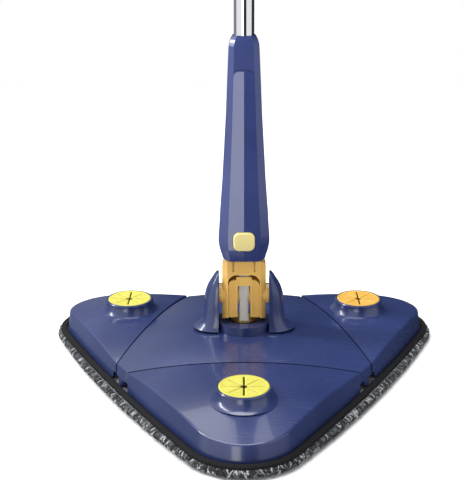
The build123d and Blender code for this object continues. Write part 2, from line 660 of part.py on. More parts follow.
def sleeve_shells():
    """The blue sleeve in two halves, with ribs that hold the tube and posts for three screws."""
    outer = loft([section(*row) for row in SLEEVE], ruled=True)
    inner = loft([section(*row, SLEEVE_WALL) for row in SLEEVE], ruled=True)
    raised = loft([section(*row, -PANEL_RISE, PANEL_RIDGE) for row in SLEEVE], ruled=True) & front_panel()
    foot_z = SLEEVE[0][0]
    shell = (outer + raised) - inner
    shell -= extrude(leg_outline(0.35), SHOULDER_Z + SLIDE + 1.0)
    arch_z = SLOT_TOP - SLOT_HALF
    shell -= box(-60, 60, -SLOT_HALF, SLOT_HALF, 0, arch_z) + along_x(SLOT_HALF, -60, 60, 0, arch_z)
    tongue = box(-SLEEVE[1][1], SLEEVE[1][1], -60, 60, foot_z, foot_z + 4 * TONGUE_ROUND)
    tongue = fillet(tongue.edges().filter_by(Axis.Y).group_by(Axis.Z)[0], TONGUE_ROUND)
    tongue += box(-60, 60, -60, 60, foot_z + TONGUE_ROUND, 400)
    shell = shell & tongue
    for z in RIB_Z:
        shell += inner & box(-60, 60, -60, 60, z, z + 3)
    for x, z in SLEEVE_SCREWS:
        shell += along_y(3.2, x, z, -60, 60) & inner
    shell += inner & box(-4.6, 4.6, ROLLER_R + 0.2, 60, ANCHOR_TOP - 6, ANCHOR_TOP)
    shell -= tube(TUBE_R + BORE_PLAY, 0, TUBE_FOOT, 400)
    shell -= button_block(0.3, -60, 0)
    for x, z in SLEEVE_SCREWS:
        shell -= along_y(SCREW_R, x, z, -8.0, 60)
        shell -= along_y(2.9, x, z, 9.5, 60)
    save(shell & box(-60, 60, -60, -0.02, 0, 400), "sleeve_front")
    save(shell & box(-60, 60, 0.02, 60, 0, 400), "sleeve_back")


def sleeve_screws():
    """Three screws that go in from behind."""
    made = None
    for x, z in SLEEVE_SCREWS:
        part = along_y(SCREW_R - 0.05, x, z, -7.5, 9.0) + along_y(SCREW_HEAD_R, x, z, 9.5, 10.9)
        made = part if made is None else made + part
    save(made, "sleeve_screws")


def sleeve_cap():
    """The domed end cap on top of the sleeve, round the tube."""
    cap = loft([section(*row) for row in CAP], ruled=True)
    save(cap - tube(TUBE_R + BORE_PLAY, 0, 0, 400), "sleeve_cap")


def button():
    """The release button, with a flange that keeps it in the sleeve."""
    face_y = -SLEEVE[3][2]
    body = button_block(0, face_y - BUTTON_PROUD, face_y + 3.2)
    body = fillet(body.faces().sort_by(Axis.Y)[0].edges(), 1.6)
    flange = button_block(1.5, face_y + 3.2, face_y + 4.0)
    body += flange & box(-60, 60, -60, 60, BUTTON_Z - 7.9, BUTTON_Z + 60)
    save(body, "release_button")


# ---- Pole --------------------------------------------------------------------------------------------------------
def pole():
    """Three lengths of steel tube, joined by threaded studs in plastic collars, and the grip."""
    bore = TUBE_R - TUBE_WALL
    top_tube_end = POLE_TOP - GRIP_LEN + 22.0
    save(tube(TUBE_R, bore, TUBE_FOOT + 0.3, MID_JOINT), "pole_tube_lower")
    save(tube(TUBE_R, bore, MID_JOINT + 26.0, TOP_JOINT), "pole_tube_middle")
    save(tube(TUBE_R, bore, TOP_JOINT + 26.0, top_tube_end), "pole_tube_upper")
    for name, z in (("middle", MID_JOINT), ("upper", TOP_JOINT)):
        stud = tube(bore, 0, z - 25, z) + tube(STUD_R, 0, z, z + 22)
        save(stud, f"joint_stud_{name}")
        collar = tube(10.25, 0, z + 0.05, z + COLLAR_LEN)
        collar = chamfer(collar.edges().filter_by(GeomType.CIRCLE), 0.8)
        collar -= tube(STUD_R + 0.05, 0, z - 1, z + 24)
        collar -= tube(TUBE_R + BORE_PLAY, 0, z + 26.0, z + 100)
        save(collar, f"joint_collar_{name}")
    foot = POLE_TOP - GRIP_LEN
    end_round = 4.0
    bend = end_round * (1 - cos(radians(45)))
    shoulder = (GRIP_TOP_R, POLE_TOP - end_round)
    rim = (GRIP_TOP_R - end_round, POLE_TOP)
    profile = make_face([Polyline(rim, (0, POLE_TOP), (0, foot), (GRIP_FOOT_R - 0.4, foot),
                                  (GRIP_FOOT_R, foot + 1.0), (GRIP_FOOT_R + 0.5, foot + 45.0), shoulder),
                         ThreePointArc(shoulder, (GRIP_TOP_R - bend, POLE_TOP - bend), rim)])
    grip = revolve(Plane.XZ * profile, Axis.Z)
    hang_z = POLE_TOP - HANG_DOWN
    for side in (-1, 1):
        y0, y1 = sorted((side * HANG_FLAT, side * 40))
        grip -= along_y(13.0, 0, hang_z, y0, y1)
    grip -= tube(TUBE_R + BORE_PLAY, 0, foot - 1, top_tube_end)
    grip -= along_y(HANG_R, 0, hang_z, -40, 40)
    save(grip, "hand_grip")


centre_cover()
chassis_plate()
hinge_pins()
pull_straps()
guide_bush()
hook_patches()
pads()
save(screws(CENTRE_BOSSES), "centre_screws")
for leaf in HINGES:
    leaf_cover(leaf)
    leaf_plate(leaf)
    gripper(leaf)
    save(screws(LEAF_BOSSES[leaf.name]), f"leaf_screws_{leaf.name}")
yoke()
fork()
roller_saddle()
strap_and_rollers()
sleeve_shells()
sleeve_screws()
sleeve_cap()
button()
pole()
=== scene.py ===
"""A triangular floor mop with a folding, self-wringing head, put together piece by piece.

Every length is in metres. +Z is up, the front corner of the head points to -Y, and the floor is at Z 0.
"""
import json
import math
import random

import bmesh
import bpy
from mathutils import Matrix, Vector, noise


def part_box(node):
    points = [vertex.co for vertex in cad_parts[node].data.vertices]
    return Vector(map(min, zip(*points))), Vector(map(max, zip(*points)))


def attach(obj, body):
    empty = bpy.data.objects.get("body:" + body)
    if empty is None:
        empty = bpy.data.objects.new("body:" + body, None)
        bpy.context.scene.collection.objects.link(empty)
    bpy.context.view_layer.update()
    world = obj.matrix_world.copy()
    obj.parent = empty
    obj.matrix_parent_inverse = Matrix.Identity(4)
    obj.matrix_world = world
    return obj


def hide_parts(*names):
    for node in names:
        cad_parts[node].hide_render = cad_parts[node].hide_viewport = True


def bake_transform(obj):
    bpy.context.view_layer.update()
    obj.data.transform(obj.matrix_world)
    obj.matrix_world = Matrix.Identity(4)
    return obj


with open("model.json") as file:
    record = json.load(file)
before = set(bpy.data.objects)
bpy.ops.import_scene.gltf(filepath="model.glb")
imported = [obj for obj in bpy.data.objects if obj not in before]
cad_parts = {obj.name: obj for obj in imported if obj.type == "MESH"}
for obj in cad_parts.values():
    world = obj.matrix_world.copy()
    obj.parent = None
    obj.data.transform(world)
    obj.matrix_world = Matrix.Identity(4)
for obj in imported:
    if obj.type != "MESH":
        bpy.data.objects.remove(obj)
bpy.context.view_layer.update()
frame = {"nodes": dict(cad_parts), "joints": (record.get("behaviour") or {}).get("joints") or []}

# ---- Camera ----------------------------------------------------------------------------------------------
# It stands in front of the head's corner, a little above it, and looks down on the domed covers.
# The lens is a short telephoto, and a small shift sets the pole just right of the frame's middle.
EYE = Vector((0.0, -0.798, 0.369))
LOOK_DOWN = math.radians(17.8)
LENS_MM = 75.75
FRAME_SHIFT = -0.025
lens = bpy.data.cameras.new("camera")
lens.lens = LENS_MM
lens.sensor_width = 36.0
lens.shift_x = FRAME_SHIFT
camera = bpy.data.objects.new("camera", lens)
camera.location = EYE
camera.rotation_euler = (math.pi / 2 - LOOK_DOWN, 0.0, 0.0)
bpy.context.scene.collection.objects.link(camera)
bpy.context.scene.camera = camera
bpy.context.scene.view_settings.view_transform = "Standard"


# ---- Floor and light -------------------------------------------------------------------------------------
# A pale square floor that mirror reflections don't show, two soft lamps, and a narrow strip lamp on the left.
# The surround is pale on the left and dim on the right, and only the camera sees it as white. Its dark gap
# draws a dark line down the tube, and its bright panel draws a ridge of light on the sleeve.
class Wire:
    """One value in a shader, so that a material's maths reads as arithmetic."""

    def __init__(self, tree, socket=None):
        self.tree = tree
        self.socket = socket

    def node(self, kind, settings=None, inputs=None, output=0):
        """Adds a node. Its settings come first, then the values or links of its sockets."""
        made = self.tree.nodes.new(kind)
        for name, value in (settings or {}).items():
            setattr(made, name, value)
        for name, value in (inputs or {}).items():
            socket = made.inputs[name]
            if isinstance(value, Wire):
                self.tree.links.new(value.socket, socket)
            else:
                socket.default_value = value
        return Wire(self.tree, made.outputs[output])

    def maths(self, operation, *values):
        """The result of one step of arithmetic on wires or numbers."""
        return self.node("ShaderNodeMath", {"operation": operation}, dict(enumerate(values)))

    def __add__(self, other):
        return self.maths("ADD", self, other)

    def __radd__(self, other):
        return self.maths("ADD", other, self)

    def __sub__(self, other):
        return self.maths("SUBTRACT", self, other)

    def __rsub__(self, other):
        return self.maths("SUBTRACT", other, self)

    def __mul__(self, other):
        return self.maths("MULTIPLY", self, other)

    def __truediv__(self, other):
        return self.maths("DIVIDE", self, other)

    def larger(self, other):
        """The larger of this value and another."""
        return self.maths("MAXIMUM", self, other)

    def ramp(self, low, high):
        """0 below low, 1 above high, and a smooth change between them."""
        return self.node("ShaderNodeMapRange", {"interpolation_type": "SMOOTHSTEP"},
                         {"Value": self, "From Min": low, "From Max": high})

    def tint(self, below, above):
        """A colour that goes from below to above as this value goes from 0 to 1."""
        ends = [c if isinstance(c, Wire) else (*c, 1.0) for c in (below, above)]
        return self.node("ShaderNodeMix", {"data_type": "RGBA"}, {0: self, 6: ends[0], 7: ends[1]}, 2)

    def part(self, name):
        """One axis of a vector."""
        return self.node("ShaderNodeSeparateXYZ", None, {0: self}, "XYZ".index(name))


def soft_lamp(name, place, aim, size, power):
    """A rectangular lamp that the camera doesn't see, turned towards a point."""
    data = bpy.data.lights.new(name, "AREA")
    data.shape = "RECTANGLE"
    data.size, data.size_y = size
    data.energy = power
    lamp = bpy.data.objects.new(name, data)
    lamp.location = place
    lamp.rotation_euler = (Vector(place) - Vector(aim)).to_track_quat("Z", "Y").to_euler()
    bpy.context.scene.collection.objects.link(lamp)
    lamp.visible_camera = False


HEAD = (0.0, 0.0, 0.05)
FLOOR_SIDE = 2.9
FLOOR_DROP = 0.0002
GAP_SIDE = 12.0
PANEL_SIDE = -15.0
PANEL_GLOW = (4.0, 4.0, 4.1)
PALE_SIDE = (0.95, 0.96, 0.98)
DIM_SIDE = (0.02, 0.025, 0.035)
GAP_SHADE = (0.02, 0.02, 0.025)
soft_lamp("lamp_left", (-1.35, 0.05, 1.25), HEAD, (0.22, 1.5), 24.0)
soft_lamp("lamp_top", (-0.1, 0.2, 2.2), HEAD, (1.2, 1.2), 32.0)
soft_lamp("lamp_back", (-0.3, 1.25, 1.7), HEAD, (1.0, 0.8), 7.0)

surround = bpy.data.worlds.new("surround")
surround.use_nodes = True
surround.node_tree.nodes.clear()
sky = Wire(surround.node_tree)
way = sky.node("ShaderNodeTexCoord", output="Generated")
across, away, high = way.part("X"), way.part("Y"), way.part("Z")
level = sky.maths("SQRT", across * across + away * away)


def toward(degrees):
    """How near a direction is to one in front of the mop, so many degrees to its right: 1 when they agree."""
    turn = math.radians(degrees)
    return (across * math.sin(turn) - away * math.cos(turn)) / level


back = away.ramp(-0.1, 0.25)
right = across.ramp(-0.45, 0.0) * back.larger((0.0 - high).ramp(0.14, 0.35))
dim = right.larger(back * (1.0 - high.ramp(0.25, 0.65)) * 0.75)
sides = dim.tint(PALE_SIDE, DIM_SIDE)
lit = toward(GAP_SIDE).ramp(0.955, 0.980).tint(sides, GAP_SHADE)
lit = (toward(PANEL_SIDE).ramp(0.984, 0.996) * (1.0 - high.ramp(0.15, 0.35))).tint(lit, PANEL_GLOW)
seen = sky.node("ShaderNodeLightPath", output="Is Camera Ray")
glow = sky.node("ShaderNodeBackground", None, {"Color": seen.tint(lit, (1.0, 1.0, 1.0)), "Strength": 1.0})
end = surround.node_tree.nodes.new("ShaderNodeOutputWorld")
surround.node_tree.links.new(glow.socket, end.inputs["Surface"])
bpy.context.scene.world = surround


def new_material(name):
    """A material's shader node, and a wire to start its maths from."""
    material = bpy.data.materials.new(name)
    material.use_nodes = True
    shader = material.node_tree.nodes["Principled BSDF"]
    return material, shader, Wire(material.node_tree)


def feed(shader, **values):
    """Sets sockets of the shader: a constant stays on the socket, and a wire is linked to it."""
    for name, value in values.items():
        socket = shader.inputs[name.replace("_", " ")]
        if isinstance(value, Wire):
            value.tree.links.new(value.socket, socket)
        else:
            socket.default_value = (*value, 1.0) if isinstance(value, tuple) else value


floor_paint, shader, _ = new_material("floor_paint")
feed(shader, Base_Color=(0.95, 0.95, 0.95), Roughness=0.75)
bpy.ops.mesh.primitive_plane_add(size=FLOOR_SIDE, location=(0, 0, -FLOOR_DROP))
floor = bpy.context.object
floor.name = "floor"
floor.data.materials.append(floor_paint)
floor.visible_glossy = False


# ---- Covers ----------------------------------------------------------------------------------------------
# The centre part and the three leaves are glossy navy injection mouldings, screwed to flat plates from below.
# The plastic has a faint orange-peel skin, cloudy flow marks and fine wiping scratches on its upper faces.
def moulded(name, colour, roughness=0.2, peel=0.05, scuffs=1.0):
    """Glossy coloured plastic as it comes from a polished mould."""
    material, shader, wire = new_material(name)
    place = wire.node("ShaderNodeTexCoord", output="Object")
    cloud = place.node("ShaderNodeTexNoise", None, {"Vector": place, "Scale": 14.0, "Detail": 4.0})
    skin = place.node("ShaderNodeTexNoise", None, {"Vector": place, "Scale": 420.0, "Detail": 2.0})
    along = place.node("ShaderNodeMapping", None,
                       {"Vector": place, "Rotation": (0.0, 0.0, 0.6), "Scale": (30.0, 900.0, 200.0)})
    lines = place.node("ShaderNodeTexNoise", None, {"Vector": along, "Scale": 1.0, "Detail": 3.0})
    scratch = lines.ramp(0.62, 0.72)
    up = wire.node("ShaderNodeNewGeometry", output="Normal").part("Z").ramp(0.2, 0.9)
    marks = scratch * up * cloud.ramp(0.42, 0.62) * scuffs
    shade = tuple(0.86 * c for c in colour)
    bright = tuple(1.12 * c + 0.002 for c in colour)
    dusty = tuple(0.9 * c + 0.03 for c in colour)
    colour_wire = (marks * 0.35).tint(cloud.ramp(0.3, 0.7).tint(shade, bright), dusty)
    bump = place.node("ShaderNodeBump", None, {"Strength": peel, "Distance": 0.0004,
                                               "Height": skin + marks * 0.4})
    feed(shader, Base_Color=colour_wire, Roughness=roughness + cloud * 0.08 + marks * 0.2, Normal=bump,
         Coat_Weight=0.35, Coat_Roughness=0.05, IOR=1.5)
    return material


def paint(material, *nodes):
    """Gives CAD nodes a material, in every slot they have."""
    for name in nodes:
        slots = frame["nodes"][name].data.materials
        for i in range(len(slots)):
            slots[i] = material


LEAVES = ("front", "left", "right")
NAVY = (0.024, 0.037, 0.122)
navy = moulded("navy_plastic", NAVY)
paint(navy, "centre_cover", *[f"leaf_cover_{leaf}" for leaf in LEAVES])


# ---- Cloth grippers --------------------------------------------------------------------------------------
# Each leaf has a soft yellow rubber disc pressed into its raised boss. Eight slits from a small centre hole
# make segments that bend down to grip the corner of a cloth. The right leaf's disc is a deeper amber.
DISC_SEGMENTS = 8
DISC_HOLE = 0.0026
DISC_SLIT_END = 0.0152
DISC_BEAD = 0.0007
DISC_DISH = 0.0005
DISC_STEPS = 9
SLIT_ROWS = 8
BEAD_LIFT = {9: 0.0, 10: 0.00025, 11: 0.00028, 12: -0.0002}
SLIT_HALF = (0.00060, 0.00032, 0.00032, 0.00032)
WELD = 1e-6


def piece_from(name, points, faces, material):
    """A smooth-shaded mesh object. A face is the numbers of its corners."""
    mesh = bpy.data.meshes.new(name)
    mesh.from_pydata(points, [], faces)
    mesh.materials.append(material)
    piece = bpy.data.objects.new(name, mesh)
    bpy.context.scene.collection.objects.link(piece)
    mesh.shade_smooth()
    return piece


def rubber(name, colour):
    """Soft matt rubber with a fine grain, cloudy colour, and a paler grey on the grain's raised points."""
    material, shader, wire = new_material(name)
    place = wire.node("ShaderNodeTexCoord", output="Object")
    cloud = place.node("ShaderNodeTexNoise", None, {"Vector": place, "Scale": 90.0, "Detail": 3.0})
    grain = place.node("ShaderNodeTexNoise", None, {"Vector": place, "Scale": 2600.0, "Detail": 1.0})
    shade = tuple(0.9 * c for c in colour)
    dusty = tuple(0.75 * c + 0.05 for c in colour)
    shown = (grain.ramp(0.6, 0.75) * 0.3).tint(cloud.ramp(0.3, 0.7).tint(shade, colour), dusty)
    bump = place.node("ShaderNodeBump", None, {"Strength": 0.2, "Distance": 0.0002,
                                               "Height": grain + cloud * 0.5})
    feed(shader, Base_Color=shown, Roughness=0.42 + cloud * 0.15, Normal=bump, IOR=1.5)
    shader.inputs["Subsurface Weight"].default_value = 0.12
    shader.inputs["Subsurface Scale"].default_value = 0.002
    return material


def slit_disc(name, radius, top, bottom, material):
    """The disc about its own middle: segments that join outside the slits, with a raised bead as rim."""
    steps = DISC_STEPS
    radii = [DISC_HOLE + (DISC_SLIT_END - DISC_HOLE) * i / (SLIT_ROWS - 1) for i in range(SLIT_ROWS)]
    radii += [DISC_SLIT_END + 0.0006, radius - 0.0022, radius - 0.0016, radius - 0.0007, radius - 0.0001]
    points = []
    faces = []
    for k in range(DISC_SEGMENTS):
        first = len(points)
        low = math.tau * k / DISC_SEGMENTS
        high = low + math.tau / DISC_SEGMENTS
        halves = [SLIT_HALF[(k - 2) % 4], SLIT_HALF[(k - 1) % 4]]
        for side in (top, bottom):
            for i, r in enumerate(radii):
                cut = 1.0 if r <= DISC_SLIT_END else 0.0
                a = low + cut * math.asin(halves[0] / r)
                b = high - cut * math.asin(halves[1] / r)
                sink = DISC_DISH * (1 - min(1.0, r / DISC_SLIT_END)) ** 2
                for j in range(steps):
                    turn = a + (b - a) * j / (steps - 1)
                    edge = DISC_BEAD * 0.3 * cut if j in (0, steps - 1) else 0.0
                    z = side + (BEAD_LIFT.get(i, 0.0) - sink - edge if side == top else 0.0)
                    points.append((r * math.cos(turn), r * math.sin(turn), z))
        rows = len(radii)

        def at(level, i, j):
            """The number of a point: top or bottom, how far out, and how far round."""
            return first + (level * rows + i) * steps + j
        for i in range(rows - 1):
            for j in range(steps - 1):
                faces.append((at(0, i, j), at(0, i + 1, j), at(0, i + 1, j + 1), at(0, i, j + 1)))
                faces.append((at(1, i, j), at(1, i, j + 1), at(1, i + 1, j + 1), at(1, i + 1, j)))
            if radii[i] < DISC_SLIT_END - WELD:
                faces.append((at(0, i, 0), at(1, i, 0), at(1, i + 1, 0), at(0, i + 1, 0)))
                last = steps - 1
                faces.append((at(0, i, last), at(0, i + 1, last), at(1, i + 1, last), at(1, i, last)))
        for j in range(steps - 1):
            faces.append((at(0, 0, j), at(0, 0, j + 1), at(1, 0, j + 1), at(1, 0, j)))
            rim = rows - 1
            faces.append((at(0, rim, j), at(1, rim, j), at(1, rim, j + 1), at(0, rim, j + 1)))
    piece = piece_from(name, points, faces, material)
    welded = bmesh.new()
    welded.from_mesh(piece.data)
    bmesh.ops.remove_doubles(welded, verts=welded.verts, dist=WELD)
    bmesh.ops.recalc_face_normals(welded, faces=welded.faces)
    welded.to_mesh(piece.data)
    welded.free()
    return piece


yellow_rubber = rubber("yellow_rubber", (0.60, 0.56, 0.085))
amber_rubber = rubber("amber_rubber", (0.66, 0.38, 0.060))
for leaf in LEAVES:
    low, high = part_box(f"cloth_gripper_{leaf}")
    middle = (low + high) / 2
    disc = slit_disc(f"gripper_disc_{leaf}", (high.x - low.x) / 2, high.z - 0.0001, low.z,
                     amber_rubber if leaf == "right" else yellow_rubber)
    disc.location = (middle.x, middle.y, 0.0)
    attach(disc, f"leaf_{leaf}")
    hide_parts(f"cloth_gripper_{leaf}")


# ---- Plates, hinge pins and screws -----------------------------------------------------------------------
# The floors of the head are matt, dark blue mouldings with their hinge barrels moulded on. Turned steel pins
# join the leaves to the centre part, and small steel screws hold the covers down from below.
def steel(name, colour, roughness, grain):
    """Turned or drawn metal with fine lines round the part, and small dull stains."""
    material, shader, wire = new_material(name)
    place = wire.node("ShaderNodeTexCoord", output="Object")
    stretched = place.node("ShaderNodeMapping", None, {"Vector": place, "Scale": (60.0, 60.0, grain)})
    lines = place.node("ShaderNodeTexNoise", None, {"Vector": stretched, "Scale": 1.0, "Detail": 3.0})
    patches = place.node("ShaderNodeTexNoise", None, {"Vector": place, "Scale": 35.0, "Detail": 5.0})
    stains = patches.ramp(0.5, 0.75)
    dull = tuple(0.82 * c for c in colour)
    bump = place.node("ShaderNodeBump", None, {"Strength": 0.04, "Distance": 0.0002, "Height": lines})
    feed(shader, Base_Color=(stains * 0.5 + lines * 0.15).tint(colour, dull),
         Roughness=roughness + lines * 0.06 + stains * 0.05, Metallic=1.0, Normal=bump)
    return material


plate_plastic = moulded("plate_plastic", (0.018, 0.024, 0.060), 0.42, 0.2, 0.4)
bright_steel = steel("bright_steel", (0.62, 0.63, 0.65), 0.22, 2600.0)
paint(plate_plastic, "chassis_plate", *[f"leaf_plate_{leaf}" for leaf in LEAVES])
paint(bright_steel, "hinge_pins", "centre_screws", "sleeve_screws", "tilt_pin", "top_roller_pin",
      "joint_stud_middle", "joint_stud_upper", *[f"leaf_screws_{leaf}" for leaf in LEAVES])


# ---- Pad -------------------------------------------------------------------------------------------------
# A washable pad of grey looped microfibre, about 7 mm thick. It is one soft piece that bends at the three
# hinges, so it is made whole here and divided into a middle and three leaves, which meet with no gap at rest.
PAD_TIP, PAD_MID, PAD_CORNER = 0.189, 0.1265, 0.050
COVER_TIP, COVER_MID, COVER_CORNER = 0.181, 0.1155, 0.042
PAD_THICK = 0.0070
BEND_HALF = 0.015
AROUND = 960
PILE_FOOT = 0.0010
INSET_LIMIT = 0.036


def reach(angle, tip, middle, corner):
    """How far the bowed triangle reaches from the axis at an angle: side arcs and tangent corner arcs."""
    off = (angle - math.pi / 2 + math.pi / 3) % (math.tau / 3) - math.pi / 3
    centre = tip - corner
    a = centre * math.cos(math.pi / 6)
    b = centre * math.sin(math.pi / 6) - middle
    bow = (corner**2 - a**2 - b**2) / (2 * (b + corner))
    out = Vector((a, centre * math.sin(math.pi / 6) - (middle - bow)))
    touch = Vector((a, centre * math.sin(math.pi / 6))) + out.normalized() * corner
    if abs(off) < math.atan2(touch.x, touch.y):
        back = middle - bow
        return back * math.cos(off) + math.sqrt(bow**2 - (back * math.sin(off))**2)
    from_tip = math.pi / 3 - abs(off)
    return centre * math.cos(from_tip) + math.sqrt(corner**2 - (centre * math.sin(from_tip))**2)


def pad_reach(angle, inset):
    """The pad's outline, moved in. Beyond a limit it is drawn in to the axis instead."""
    near = min(inset, INSET_LIMIT)
    edge = reach(angle, PAD_TIP - near, PAD_MID - near, PAD_CORNER - near)
    return edge * (1 - max(0.0, inset - INSET_LIMIT) / (PAD_MID - INSET_LIMIT))


def walk(outline, pitch):
    """Points about a pitch apart along a closed outline, each with the directions along it and out of it."""
    turns = 2400
    fine = [Vector((outline(a) * math.cos(a), outline(a) * math.sin(a), 0.0))
            for a in (math.tau * i / turns for i in range(turns + 1))]
    lengths = [0.0]
    for p, q in zip(fine, fine[1:]):
        lengths.append(lengths[-1] + (q - p).length)
    found = []
    spot = 0
    count = int(lengths[-1] / pitch)
    for i in range(count):
        goal = lengths[-1] * i / count
        while lengths[spot + 1] < goal:
            spot += 1
        share = (goal - lengths[spot]) / (lengths[spot + 1] - lengths[spot])
        along = (fine[spot + 1] - fine[spot]).normalized()
        found.append((fine[spot].lerp(fine[spot + 1], share), along, Vector((along.y, -along.x, 0.0))))
    return found


HINGE = {}
for joint in frame["joints"]:
    if joint["name"].startswith("leaf_fold_"):
        pin = Vector(joint["axis"])
        HINGE[joint["name"][len("leaf_fold_"):]] = (Vector(joint["pos_m"]), Vector((pin.y, -pin.x, 0.0)))


def beyond(leaf, point):
    """How far a point lies outside a leaf's hinge line."""
    middle, out = HINGE[leaf]
    return (Vector(point) - middle).dot(out)


def leaf_of(point):
    """The leaf that a point of the pad bends with, or None in the middle."""
    leaf = max(LEAVES, key=lambda name: beyond(name, point))
    return leaf if beyond(leaf, point) > -BEND_HALF else None


def divided(mesh_points, faces):
    """Cuts a closed form along the bends and the mitres, and closes each part: {leaf or None: bmesh}."""
    whole = bmesh.new()
    for point in mesh_points:
        whole.verts.new(point)
    whole.verts.ensure_lookup_table()
    for face in faces:
        whole.faces.new([whole.verts[i] for i in face])
    bmesh.ops.recalc_face_normals(whole, faces=whole.faces)
    parts = {}
    for leaf in (None, *LEAVES):
        if leaf is None:
            planes = [(HINGE[name][0] - HINGE[name][1] * BEND_HALF, HINGE[name][1]) for name in LEAVES]
        else:
            middle, out = HINGE[leaf]
            planes = [(middle - out * BEND_HALF, out * -1)]
            for other in LEAVES:
                if other != leaf:
                    other_middle, other_out = HINGE[other]
                    lean = out - other_out
                    place = lean * ((out.dot(middle) - other_out.dot(other_middle)) / lean.length_squared)
                    planes.append((place, lean * -1))
        part = whole.copy()
        for place, away in planes:
            cut = bmesh.ops.bisect_plane(part, geom=part.verts[:] + part.edges[:] + part.faces[:], dist=1e-7,
                                         plane_co=(place.x, place.y, 0.0), plane_no=away, clear_outer=True)
            rim = [e for e in cut["geom_cut"] if isinstance(e, bmesh.types.BMEdge)]
            bmesh.ops.edgeloop_fill(part, edges=rim)
        parts[leaf] = part
    whole.free()
    return parts


def settle(part, leaf, name, slot, *materials):
    """Makes a divided part an object: the middle rides on the head's base, and a leaf's part is fixed where
    it lies.
    """
    mesh = bpy.data.meshes.new(name)
    part.to_mesh(mesh)
    part.free()
    for material in materials:
        mesh.materials.append(material)
    mesh.shade_smooth()
    piece = bpy.data.objects.new(name, mesh)
    bpy.context.scene.collection.objects.link(piece)
    if leaf is None:
        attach(piece, "base")
    else:
        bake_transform(piece)
    return piece


def yarn(name, colour):
    """Fluffy synthetic yarn: fibres and shade from fine noise, with a soft sheen."""
    material, shader, wire = new_material(name)
    place = wire.node("ShaderNodeTexCoord", output="Object")
    fibre = place.node("ShaderNodeTexNoise", None,
                       {"Vector": place, "Scale": 1500.0, "Detail": 3.0, "Roughness": 0.7})
    clump = place.node("ShaderNodeTexNoise", None, {"Vector": place, "Scale": 120.0, "Detail": 2.0})
    dark = tuple(0.45 * c for c in colour)
    pale = tuple(1.15 * c for c in colour)
    bump = place.node("ShaderNodeBump", None, {"Strength": 0.6, "Distance": 0.0004, "Height": fibre})
    feed(shader, Base_Color=(fibre.ramp(0.35, 0.65) * 0.8 + clump * 0.2).tint(dark, pale), Roughness=0.9,
         Normal=bump)
    shader.inputs["Sheen Weight"].default_value = 0.25
    shader.inputs["Sheen Roughness"].default_value = 0.5
    return material


def pile():
    """The pad's looped face: curled loops in white and grey, packed close, with painted shade in near-black
    in the hollows between them.
    """
    material, shader, wire = new_material("microfibre_pile")
    place = wire.node("ShaderNodeTexCoord", output="Object")
    swirl = place.node("ShaderNodeTexNoise", None, {"Vector": place, "Scale": 240.0, "Detail": 2.0}, "Color")
    moved = place.node("ShaderNodeVectorMath", {"operation": "MULTIPLY_ADD"},
                       {0: swirl, 1: (0.006, 0.006, 0.006), 2: place})
    worm = place.node("ShaderNodeTexVoronoi", {"feature": "DISTANCE_TO_EDGE"},
                      {"Vector": moved, "Scale": 480.0})
    loop = worm.ramp(0.02, 0.22)
    mottle = place.node("ShaderNodeTexNoise", None, {"Vector": moved, "Scale": 520.0, "Detail": 1.0})
    speck = mottle.ramp(0.4, 0.6)
    fibre = place.node("ShaderNodeTexNoise", None, {"Vector": place, "Scale": 2600.0, "Detail": 2.0})
    shade = speck.tint((0.07, 0.075, 0.085), (0.52, 0.55, 0.60))
    # Painted shade: near-black where the loops' relief sinks, in the hollows between them.
    shown = (loop * (0.55 + fibre * 0.6)).tint((0.010, 0.011, 0.013), shade)
    bump = place.node("ShaderNodeBump", None, {"Strength": 0.8, "Distance": 0.0012,
                                               "Height": loop + fibre * 0.3})
    feed(shader, Base_Color=shown, Roughness=0.92, Normal=bump)
    shader.inputs["Sheen Weight"].default_value = 0.3
    shader.inputs["Sheen Roughness"].default_value = 0.5
    return material


def ring_surface(rings):
    """Points and faces of a closed form from rings of equal length, with both ends closed."""
    count = len(rings[0])
    points = [point for ring in rings for point in ring]
    faces = []
    for r in range(len(rings) - 1):
        for i in range(count):
            nxt = (i + 1) % count
            faces.append((r * count + i, r * count + nxt, (r + 1) * count + nxt, (r + 1) * count + i))
    for ring in (0, len(rings) - 1):
        faces.append(tuple(ring * count + i for i in range(count)))
    return points, faces


# From the underside's middle out, round the bulged rim, and back over the flat top: inset and height.
GROOVE_AT = 0.034
GROOVE_HALF = 0.0020
GROOVE_DEEP = 0.0016
SMOOTH_ABOVE = 0.0066
inner_rings = [0.120 - 0.0025 * i for i in range(33)]
outer_rings = [INSET_LIMIT - 0.0018 * i for i in range(17)]
PROFILE = [(inset, PILE_FOOT) for inset in inner_rings + outer_rings]
PROFILE += [(0.0050, 0.0010), (0.0034, 0.0013), (0.0020, 0.0018), (0.0010, 0.0026), (0.0004, 0.0036),
            (0.0006, 0.0047), (0.0014, 0.0057), (0.0026, 0.0064), (0.0044, 0.0069), (0.0080, PAD_THICK),
            (0.0300, PAD_THICK), (0.0700, PAD_THICK), (0.1200, PAD_THICK)]

rings = []
for inset, height in PROFILE:
    ring = []
    for i in range(AROUND):
        angle = math.tau * i / AROUND
        r = pad_reach(angle, inset)
        x, y, z = r * math.cos(angle), r * math.sin(angle), height
        if height < SMOOTH_ABOVE:
            spot = Vector((x, y, z))
            rough = noise.noise(spot * 330.0) + 0.6 * noise.noise(spot * 760.0)
            wave = noise.noise(Vector((x, y, 0.0)) * 45.0)
            seam = math.exp(-((inset - GROOVE_AT) / GROOVE_HALF) ** 2)
            z = max(0.0, z + 0.0006 * rough + 0.0003 * wave + GROOVE_DEEP * seam)
            stretch = 1 + 0.0004 * rough / max(r, 0.02)
            x, y = x * stretch, y * stretch
        ring.append((x, y, z))
    rings.append(ring)
pad_parts = divided(*ring_surface(rings))

# Yarn loops stand out all round the rim, slanting to and fro, over the ends of the pile.
LOOP_PITCH = 0.0013
LOOP_SIDES = 5
LOOP_STEPS = 6
LOOP_LEAN = 0.0042
draw = random.Random(7)


